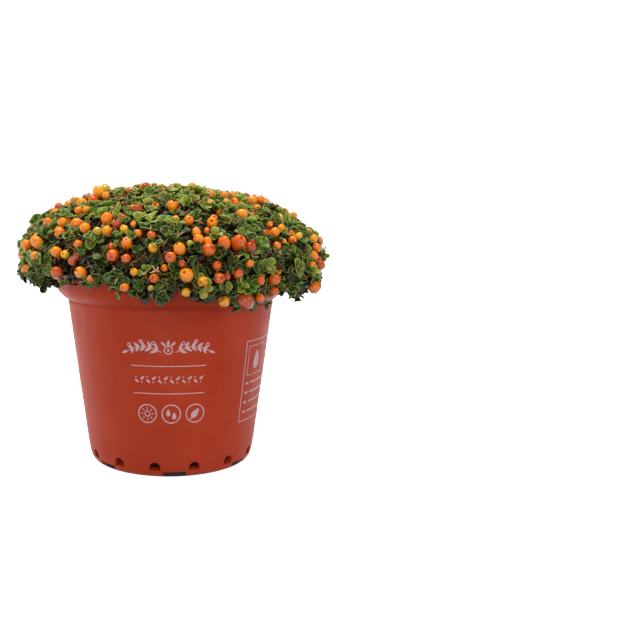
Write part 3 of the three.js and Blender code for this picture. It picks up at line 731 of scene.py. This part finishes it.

# Leaves: round to egg-shaped, fleshy and cupped, 3 to 5 mm long, in crossed pairs that close each
# shoot with a small rosette. Below them older, darker leaves fill the gaps; their darkness is
# partly their own and partly painted shade.
LEAF_LENGTH = 3.8  # mm, like the next two
LEAF_WIDTH = 3.8
LEAF_THICKNESS = 0.26
LEAF_KINDS = [  # cup depth, fold along the midrib, tip bend, width over the usual, point
    (0.25, 0.02, 0.02, 1.02, 0.0), (0.36, 0.03, 0.04, 0.98, 0.01), (0.14, 0.04, 0.12, 1.05, 0.0),
    (0.30, 0.08, -0.04, 0.95, 0.03), (0.48, 0.02, 0.0, 1.0, 0.0), (0.20, 0.01, 0.20, 1.04, 0.01),
    (0.34, 0.12, 0.06, 0.92, 0.04),
]


def new_leaf(name, sides, cup, fold, bend, width, point):
    """A closed leaf blade: its stalk end at the origin, its tip along +Y, its face up."""
    bm = bmesh.new()
    layers = new_layers(bm)
    bmesh.ops.create_circle(bm, cap_ends=True, radius=1, segments=sides)
    if sides > 8:
        bmesh.ops.inset_region(bm, faces=bm.faces[:], thickness=0.24, use_boundary=True)
    bmesh.ops.poke(bm, faces=[max(bm.faces, key=lambda f: len(f.verts))])
    outline = [e for e in bm.edges if e.is_boundary]
    skirt = bmesh.ops.extrude_edge_only(bm, edges=outline)["geom"]
    bmesh.ops.translate(bm, verts=verts_of(skirt), vec=(0, 0, -1))
    outline = [e for e in skirt if isinstance(e, bmesh.types.BMEdge) and e.is_boundary]
    under = bmesh.ops.contextual_create(bm, geom=outline)["faces"]
    bmesh.ops.poke(bm, faces=under)
    for v in bm.verts:
        u, w = v.co.x, v.co.y
        below = LEAF_THICKNESS if v.co.z < -0.5 else 0.0
        v[layers["edge"]] = math.hypot(u, w)
        v[layers["across"]] = u
        along = (w + 1) / 2
        v.co.x = u * width * (1.04 - 0.1 * along) * LEAF_WIDTH / 2
        v.co.y = (along + (point if w > 0.97 else 0.0)) * LEAF_LENGTH
        bowl = cup * (u * u * 0.8 + along * along * 0.45)
        v.co.z = (bowl + fold * abs(u) - bend * along ** 3) * LEAF_LENGTH - below
    return keep_shape(name, bm, LEAF)


leaf_shapes = [new_leaf("leaf_%d" % i, 10, *kind) for i, kind in enumerate(LEAF_KINDS)]
inner_leaf_shapes = [new_leaf("inner_leaf_%d" % i, 8, *kind) for i, kind in enumerate(LEAF_KINDS)]


def new_stalk(name, points, radii, sides, material):
    """A thin closed stalk through a row of points in mm, with a radius at each."""
    bm = bmesh.new()
    new_layers(bm)
    run = Vector(points[-1]) - Vector(points[0])
    lie = Matrix.Translation(points[0]) @ facing(run)
    bmesh.ops.create_circle(bm, cap_ends=True, radius=radii[0], segments=sides, matrix=lie)
    face = bm.faces[:][0]
    for i in range(1, len(points)):
        face = bmesh.ops.extrude_discrete_faces(bm, faces=[face])["faces"][0]
        centre = Vector(points[i])
        bmesh.ops.translate(bm, verts=face.verts[:], vec=centre - Vector(points[i - 1]))
        for v in face.verts:
            v.co = centre + (v.co - centre) * (radii[i] / radii[i - 1])
    bmesh.ops.contextual_create(bm, geom=[e for e in bm.edges if e.is_boundary])
    return keep_shape(name, bm, material)


shoot_shape = new_stalk("shoot", [(0.3, 0.1, -5.5), (0, 0, 0.6)], (0.4, 0.28), 4, STEM)
creeper_shapes = [
    new_stalk("creeper_%d" % i, points, (0.25, 0.38, 0.4, 0.38, 0.25), 5, STEM)
    for i, points in enumerate([
        [(0, 0, -1), (2.5, 0.6, 0), (5.2, 0.2, 0.5), (8, -0.8, 0.2), (10.4, -0.6, -1)],
        [(0, 0, -1), (2, -1.1, 0.2), (4.4, -1.4, 0.1), (6.8, -0.2, 0.5), (8.8, 1.4, -0.8)],
        [(0, 0, -1.4), (2.2, 1, 0.1), (5, 1.2, 0.8), (7.4, 2.4, 0.4), (9.8, 2.2, -1.2)],
    ])
]


def new_wisp(name, curls, seed):
    """The dried remains of a flower: a few thin curled strips from one foot."""
    draw = random.Random(seed)
    bm = bmesh.new()
    new_layers(bm)
    for i in range(curls):
        strip = bmesh.ops.create_grid(bm, x_segments=1, y_segments=3, size=0.5)["verts"]
        length = draw.uniform(1.8, 3.4)
        width = draw.uniform(0.35, 0.75)
        curl = draw.uniform(-1.0, 1.6)
        for v in strip:
            t = v.co.y + 0.5
            angle = curl * t * 1.6
            v.co = Vector((v.co.x * width * (1.15 - t), length * t * math.cos(angle),
                           length * t * math.sin(angle) + 0.2 * math.sin(7 * t)))
        turn = i * math.tau / curls + draw.uniform(-0.5, 0.5)
        lean = Matrix.Rotation(turn, 4, "Z") @ Matrix.Rotation(draw.uniform(0.2, 1.1), 4, "X")
        bmesh.ops.transform(bm, matrix=lean, verts=strip)
    bmesh.ops.solidify(bm, geom=bm.faces[:], thickness=0.14)
    return keep_shape(name, bm, WISP)


wisp_shapes = [new_wisp("dry_wisp_%d" % i, 3, i) for i in range(4)]

# Each tuft grows from its own root in the soil: one in the middle, and two rings round it.
TUFT_RINGS = [  # name, number, radius in mm, how many steps past the front the first stands
    ("inner", 6, 27, 0.5), ("rim", 12, 52, 0.0),
]
tuft_roots = {"leafy_tuft_middle": (0.0, 0.0)}
for ring_name, count, radius, first in TUFT_RINGS:
    for i in range(count):
        root = around(radius, (i + first) * math.tau / count, 0)
        tuft_roots["leafy_tuft_%s_%d" % (ring_name, i + 1)] = (root.x, root.y)
tufts = {name: bmesh.new() for name in tuft_roots}
PAIR_RISES = (14, 36, 58)  # degrees, from a rosette's oldest pair of leaves to its youngest
PAIR_SIZES = (1.0, 0.82, 0.45)
PAIR_GAP = 0.55  # mm of stem between two pairs


def tuft_at(place):
    """The tuft that a place belongs to: the one with the nearest root."""
    name = min(tuft_roots, key=lambda n: (place.x - tuft_roots[n][0]) ** 2
               + (place.y - tuft_roots[n][1]) ** 2)
    return tufts[name]


def add_rosette(place, axis, size, tone, pairs, shapes, draw):
    """Crossed pairs of leaves round a shoot's tip; each younger pair is smaller and steeper."""
    bm = tuft_at(place)
    stand = stand_at(place, axis, draw)
    stamp(bm, shoot_shape, stand, draw.random())
    for pair in range(pairs):
        for side in range(2):
            turn = pair * math.pi / 2 + side * math.pi + draw.gauss(0, 0.2)
            rise = math.radians(PAIR_RISES[pair] + draw.gauss(0, 12))
            grow = size * PAIR_SIZES[pair] * draw.uniform(0.85, 1.12)
            leaf = (stand @ Matrix.Translation((0, 0, pair * PAIR_GAP * MM))
                    @ Matrix.Rotation(turn, 4, "Z") @ Matrix.Translation((0, 0.45 * MM, 0))
                    @ Matrix.Rotation(rise, 4, "X") @ Matrix.Rotation(draw.gauss(0, 0.22), 4, "Y")
                    @ Matrix.Scale(grow, 4))
            stamp(bm, draw.choice(shapes), leaf, tone + draw.gauss(0, 0.08) + pair * 0.06)


def near_berry(place, room):
    """Whether a place is inside a berry or closer to it than room mm and the berry's own room."""
    return any((place - middle).length < (radius + room + clear) * MM
               for middle, radius, _, _, clear in placed_berries)


draw = random.Random(7)
# The young outer layer and the old inner one. For each: rosettes, depth of their foot in mm and
# its spread, size and tone of the leaves, how patchy, share with a third pair, leaves. The inner
# layer's near-black tone is partly the old leaves' own colour and partly painted shade in the
# gaps, and a rosette set deeper than the rest gets a darker tone: painted shade.
LAYERS = [
    (1400, 2.7, 1.2, 1.0, 0.44, 1.0, 0.3, leaf_shapes),
    (1050, 6.1, 0.6, 1.12, 0.04, 0.2, 0.0, inner_leaf_shapes),
]
STRAY_SHOOTS = 170
DRY_WISPS = 1500
CREEPERS = 420
for count, depth, spread, size, base_tone, patchiness, third_pair, shapes in LAYERS:
    for turn, slide in cushion_sites(count, draw, 1.6):
        lower = min(max(draw.gauss(0, spread), -1.6), 2.2)
        place, outward = cushion_spot(turn, slide, depth + lower)
        if place.z < (fringe_height(turn) + 2.5) * MM:
            continue
        axis = stray_from(outward, 0.25, 0.36, draw)
        if near_berry(place + axis * 1.5 * MM, draw.uniform(-0.2, 0.9)):
            continue
        # Random patches of tone, plus painted light: leaves are lighter higher up towards the
        # crown.
        patch = noise.noise(place / (9 * MM)) * 0.36 + max(place.z - 105 * MM, 0) / (110 * MM)
        add_rosette(place, axis, size * draw.uniform(0.68, 1.24),
                    base_tone + (patch + draw.gauss(0, 0.13)) * patchiness - lower * 0.17,
                    3 if draw.random() < third_pair else 2, shapes, draw)

# Stray shoots that have outgrown the others and break the outline.
for turn, slide in cushion_sites(STRAY_SHOOTS, draw, 5.0):
    place, outward = cushion_spot(turn, slide, draw.uniform(0.2, 1.8))
    if slide > 92 or near_berry(place, 1.2):
        continue
    axis = stray_from(outward, 0, 0.35, draw)
    add_rosette(place, axis, draw.uniform(0.5, 0.8), 0.45 + draw.gauss(0, 0.15), 2,
                leaf_shapes, draw)

# The berries, four in five of them with what is left of the flower at their tip.
for middle, radius, tip, ripeness, _ in placed_berries:
    bm = tuft_at(middle)
    grow = Matrix.Diagonal((radius * MM, radius * MM, radius * draw.uniform(0.94, 1.16) * MM, 1))
    stand = stand_at(middle, tip, draw) @ grow
    stamp(bm, draw.choice(berry_shapes), stand, ripeness + draw.gauss(0, 0.03))
    remains = draw.random()
    if remains < 0.4:
        stamp(bm, nub_shape, stand, draw.random())
    elif remains < 0.8:
        curl = stand @ Matrix.Translation((0, 0, 0.75)) @ Matrix.Diagonal((0.3, 0.3, 0.3, 1))
        curl = curl @ Matrix.Scale(1 / MM, 4)
        stamp(bm, draw.choice(wisp_shapes), curl, draw.uniform(0.3, 0.95))

# Remains of flowers that lie between them, and stems that creep under the leaves.
for turn, slide in cushion_sites(DRY_WISPS, draw, 3.5):
    place, outward = cushion_spot(turn, slide, draw.uniform(-0.2, 3.4))
    if near_berry(place, -0.2) or place.z < (fringe_height(turn) + 1) * MM:
        continue
    axis = stray_from(outward, 0, 0.5, draw)
    grow = Matrix.Scale(draw.uniform(0.5, 0.95), 4)
    stand = stand_at(place, axis, draw) @ grow
    stamp(tuft_at(place), draw.choice(wisp_shapes), stand, draw.random())
for turn, slide in cushion_sites(CREEPERS, draw, 4.0):
    place, outward = cushion_spot(turn, slide, draw.uniform(2.4, 4.6))
    if place.z < (fringe_height(turn) + 9) * MM:
        continue
    stand = stand_at(place, outward, draw)
    stamp(tuft_at(place), draw.choice(creeper_shapes), stand, draw.random())

# Fringe: shoots that have grown over the lip and hang free, with their leaves in pairs.
FRINGE_SHOOTS = 110
for i in range(FRINGE_SHOOTS):
    turn = i * math.tau / FRINGE_SHOOTS + draw.uniform(-0.03, 0.03)
    place = around(draw.uniform(57, 68), turn, fringe_height(turn) + draw.uniform(2, 6.5))
    outward = around(1, turn, 0) / MM
    hang = stray_from(outward * draw.uniform(0.1, 0.9), -1, 0.25, draw)
    add_rosette(place, hang, draw.uniform(0.75, 1.05), 0.25 + draw.gauss(0, 0.1), 2,
                inner_leaf_shapes, draw)

# At the left and right edges a few thicker ones hang down.
HANGING_SHOOTS = [  # turn in degrees, radius and height of the foot in mm
    (-97, 63, 84), (-94, 64, 84.5), (-100, 58, 84.5), (-104, 60, 83.5), (-90, 60, 84),
    (67, 58, 79), (70, 59, 77.5), (66, 60, 80.5),
]
for turn, radius, height in HANGING_SHOOTS:
    hang = Vector((draw.gauss(0, 0.2), draw.gauss(0, 0.2), -1)).normalized()
    add_rosette(around(radius, math.radians(turn), height), hang, draw.uniform(0.8, 1.05),
                0.3 + draw.gauss(0, 0.1), 3, leaf_shapes, draw)

# Leaves, fleshy and shiny: a thin smooth skin over soft green tissue that lets a little light
# through. Dark to yellow green, with a paler midrib. The pale rim is a painted highlight, the dark
# middle of each cupped leaf is painted shade, the lightening towards the crown is painted light,
# and the darkest tones of the deep and inner leaves are painted shade.
leaf_green = new_material("fleshy_leaf_glossy")
leaf_place = add_node(leaf_green, "TexCoord").outputs["Object"]
leaf_tone, leaf_edge, leaf_across = [
    add_node(leaf_green, "Attribute", attribute_name=name).outputs["Fac"]
    for name in ("tone", "edge", "across")]
blotch = add_node(leaf_green, "TexNoise", {
    "Vector": leaf_place, "Scale": 1 / (1.6 * MM), "Detail": 3.0, "Roughness": 0.6})
blotch_shift = add_node(leaf_green, "Math", {0: blotch, 1: 0.3, 2: -0.15},
                        operation="MULTIPLY_ADD")
mixed_tone = add_node(leaf_green, "Math", {0: leaf_tone, 1: blotch_shift}, operation="ADD")
leaf_colour = add_node(leaf_green, "ValToRGB", {"Fac": mixed_tone}, stops=[
    (0.0, "#3A1E0A"), (0.09, "#0B0C02"), (0.27, "#142D05"), (0.52, "#2E5B0E"),
    (0.78, "#668620"), (1.0, "#9EA634")])
# Yellow-olive patches of leaf colour; their share grows with height towards the crown, which is
# painted light from above.
yellow_olive_colour = add_node(leaf_green, "ValToRGB", {"Fac": mixed_tone}, stops=[
    (0.0, "#2E1A08"), (0.27, "#3A2A0A"), (0.52, "#6E5E1C"), (0.78, "#9C8A34"),
    (1.0, "#B8A650")])
yellow_patches = add_node(leaf_green, "TexNoise", {
    "Vector": leaf_place, "Scale": 1 / (4.5 * MM), "Detail": 3.0})
leaf_height = add_node(leaf_green, "SeparateXYZ", {"Vector": leaf_place}).outputs["Z"]
crown_painted_light = add_node(leaf_green, "MapRange", {  # most near the crown
    "Value": leaf_height, "From Min": 95 * MM, "From Max": 118 * MM, "To Min": 0.35,
    "To Max": 0.85})
yellow_patch_mask = add_node(leaf_green, "MapRange", {
    "Value": yellow_patches, "From Min": 0.48, "From Max": 0.62, "To Max": crown_painted_light})
yellow_patched = add_node(leaf_green, "Mix", {
    "Factor": yellow_patch_mask, "A": leaf_colour, "B": yellow_olive_colour}, data_type="RGBA")
paleness = add_node(leaf_green, "MapRange", {  # old inner leaves have little
    "Value": leaf_tone, "From Min": 0.08, "From Max": 0.42, "To Min": 0.04, "To Max": 0.55})
# Painted highlight: a pale rim along each leaf's edge, weaker on the dark inner leaves.
rim_highlight_mask = add_node(leaf_green, "MapRange", {
    "Value": leaf_edge, "From Min": 0.86, "From Max": 1.0, "To Max": paleness})
rim_highlighted = add_node(leaf_green, "Mix", {
    "Factor": rim_highlight_mask, "A": yellow_patched, "B": "#B2C066"}, data_type="RGBA")
off_rib = add_node(leaf_green, "Math", {0: leaf_across}, operation="ABSOLUTE")
rib_mask = add_node(leaf_green, "MapRange", {
    "Value": off_rib, "From Min": 0.04, "From Max": 0.12, "To Min": paleness, "To Max": 0.0})
ribbed = add_node(leaf_green, "Mix", {
    "Factor": rib_mask, "A": rim_highlighted, "B": "#98B45E"}, data_type="RGBA")
# Painted shade: each leaf darkens towards its middle, as shade would fall in its cup.
cup_painted_shade = add_node(leaf_green, "MapRange", {
    "Value": leaf_edge, "From Min": 0.1, "From Max": 0.9, "To Min": 0.5, "To Max": 0.0})
cupped = add_node(leaf_green, "Mix", {
    "Factor": cup_painted_shade, "A": ribbed, "B": "#0C1A08"}, data_type="RGBA")
leaf_bump = add_node(leaf_green, "Bump", {
    "Height": blotch, "Strength": 0.35, "Distance": 0.15 * MM})
leaf_shader = add_node(leaf_green, "BsdfPrincipled", {
    "Base Color": cupped, "Roughness": 0.29, "IOR": 1.42, "Specular IOR Level": 0.28,
    "Subsurface Weight": 0.1, "Subsurface Radius": (0.6, 1.0, 0.3),
    "Subsurface Scale": 0.4 * MM, "Normal": leaf_bump})
add_node(leaf_green, "OutputMaterial", {"Surface": leaf_shader})

# The plant's dull bits, which take their colour from their tone alone. Stems are thin and woody,
# purple brown where light reaches them and greener inside. Dried flowers are papery, pinkish tan
# to brown. The dry flower end in a berry's pit is dark brown to straw, crisp and matte.
DULL_BITS = [  # name, roughness, specular level, colours
    ("creeping_stem_skin", 0.55, 0.15, [
        (0.0, "#2E1C12"), (0.45, "#542A2C"), (0.8, "#6E3C34"), (1.0, "#5E6E30")]),
    ("dried_flower_papery", 0.8, 0.1, [
        (0.0, "#38200C"), (0.35, "#6A3A18"), (0.6, "#A86A34"), (0.82, "#D9AC80"),
        (0.93, "#EBD0B0"), (1.0, "#7A3A34")]),
    ("dry_flower_end", 0.85, 0.1, [(0.0, "#3A1D14"), (0.6, "#6B3A28"), (1.0, "#D9BFA6")]),
]
dull_materials = []
for name, roughness, specular, colours in DULL_BITS:
    dull = new_material(name)
    dull_tone = add_node(dull, "Attribute", attribute_name="tone").outputs["Fac"]
    dull_colour = add_node(dull, "ValToRGB", {"Fac": dull_tone}, stops=colours)
    dull_shader = add_node(dull, "BsdfPrincipled", {
        "Base Color": dull_colour, "Roughness": roughness, "Specular IOR Level": specular})
    add_node(dull, "OutputMaterial", {"Surface": dull_shader})
    dull_materials.append(dull)
stem_skin, dry_paper, nub_husk = dull_materials

# Berry skin, taut and glossy over clear flesh: light goes a little way in, so shadows on it stay
# warm. Yellow green when unripe, then yellow, orange and at last orange red.
berry_skin = new_material("ripe_berry_skin")
berry_place = add_node(berry_skin, "TexCoord").outputs["Object"]
berry_tone, berry_edge = [
    add_node(berry_skin, "Attribute", attribute_name=name).outputs["Fac"]
    for name in ("tone", "edge")]
flush = add_node(berry_skin, "TexNoise", {
    "Vector": berry_place, "Scale": 1 / (3.2 * MM), "Detail": 3.0})
flush_shift = add_node(berry_skin, "Math", {0: flush, 1: 0.3, 2: -0.15},
                       operation="MULTIPLY_ADD")
ripe_tone = add_node(berry_skin, "Math", {0: berry_tone, 1: flush_shift}, operation="ADD")
berry_colour = add_node(berry_skin, "ValToRGB", {"Fac": ripe_tone}, stops=[
    (0.05, "#93962C"), (0.28, "#E8AE18"), (0.47, "#F58E08"), (0.62, "#F07A0A"),
    (0.8, "#D4560C"), (1.0, "#96380F")])
pit_mask = add_node(berry_skin, "MapRange", {
    "Value": berry_edge, "From Min": 0.3, "From Max": 0.95, "To Max": 0.7})
pitted = add_node(berry_skin, "Mix", {
    "Factor": pit_mask, "A": berry_colour, "B": "#5A200E"}, data_type="RGBA")
berry_shader = add_node(berry_skin, "BsdfPrincipled", {
    "Base Color": pitted, "Roughness": 0.24, "IOR": 1.45, "Specular IOR Level": 0.5,
    "Subsurface Weight": 0.15, "Subsurface Radius": (1.0, 0.45, 0.15),
    "Subsurface Scale": 1.2 * MM})
add_node(berry_skin, "OutputMaterial", {"Surface": berry_shader})

for name, bm in tufts.items():
    tuft = new_piece(name + "_grown", bm, [leaf_green, stem_skin, dry_paper, berry_skin, nub_husk])
    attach(tuft, "root")
    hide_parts(name)

# Heart of the cushion: the tangle of old stems and dead leaves that holds the shoots together. Its
# near-black colour is painted shade: hardly any light reaches it, and it stands for the dark depth
# between the leaves.
HEART_DEPTH = 8.5  # mm under the leaf tips
HEART_STEP = 3.9  # mm down the cushion
HEART_UNDERSIDE = [(58, 87), (54.6, 87.6), (54.2, 91.6), (50.6, 91.8), (50.2, 84), (44, 80.2),
                   (0, 80.2)]  # radius and height in mm: over the lip and down to the soil
heart_dark = new_material("shaded_stem_tangle")
heart_place = add_node(heart_dark, "TexCoord").outputs["Object"]
tangle = add_node(heart_dark, "TexNoise", {
    "Vector": heart_place, "Scale": 1 / (1.5 * MM), "Detail": 4.0, "Roughness": 0.7})
heart_colour = add_node(heart_dark, "ValToRGB", {"Fac": tangle}, stops=[
    (0.35, "#080703"), (0.6, "#151008"), (0.8, "#2A1A0E")])
heart_bump = add_node(heart_dark, "Bump", {
    "Height": tangle, "Strength": 0.8, "Distance": 0.8 * MM})
heart_shader = add_node(heart_dark, "BsdfPrincipled", {
    "Base Color": heart_colour, "Roughness": 0.9, "Specular IOR Level": 0.1,
    "Normal": heart_bump})
add_node(heart_dark, "OutputMaterial", {"Surface": heart_shader})

heart_line = []
for slide in np.arange(25) * HEART_STEP:
    radius, height = on_profile(slide)
    out, up = on_profile(slide + 0.6) - (radius, height)
    step = math.hypot(out, up)
    heart_line.append((max(radius + up / step * HEART_DEPTH, 0),
                       height - out / step * HEART_DEPTH))
heart_line[0] = (0, heart_line[0][1])
heart_line = [p for p in heart_line if p[1] > 87 or p[0] < 50] + HEART_UNDERSIDE
heart_bm = new_spin(heart_line, 96)
for v in heart_bm.verts:
    if v.co.z > 93 * MM:
        v.co += v.co.normalized() * noise.noise(v.co / (5 * MM)) * 0.9 * MM
heart = new_piece("stem_tangle", heart_bm, [heart_dark])
heart.data.shade_smooth()
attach(heart, "root")
